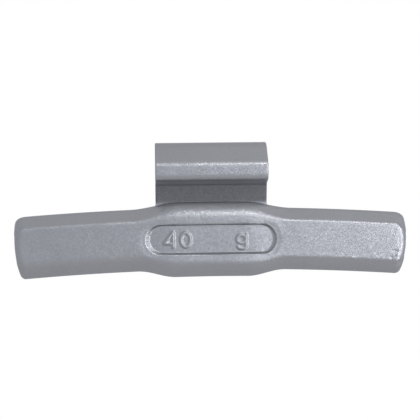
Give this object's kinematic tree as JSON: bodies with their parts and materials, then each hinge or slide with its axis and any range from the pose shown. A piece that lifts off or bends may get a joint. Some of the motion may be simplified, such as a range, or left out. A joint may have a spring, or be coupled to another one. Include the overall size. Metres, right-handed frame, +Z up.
{
  "type": "wheel balance weight",
  "caption": "Clip-on steel balance weight: a bevelled, slightly bent bar with a sunken stadium window, and a bent spring strip that hooks over a wheel rim's edge.",
  "frame": {"origin": "on the axis of the clip's bend that seats over the rim's edge, at the middle of the strip's width", "axes": "+X along the bar, +Y from the front face to the back face that lies against the rim, +Z up, from the bar to the clip"},
  "size_m": [0.0802, 0.0105, 0.0276],
  "materials": {
    "silver_coat": "silver-grey coat with fine metal flake, semi-gloss"
  },
  "bodies": {
    "root": {"weight_body": "silver_coat", "spring_clip": "silver_coat"}
  },
  "joints": []
}
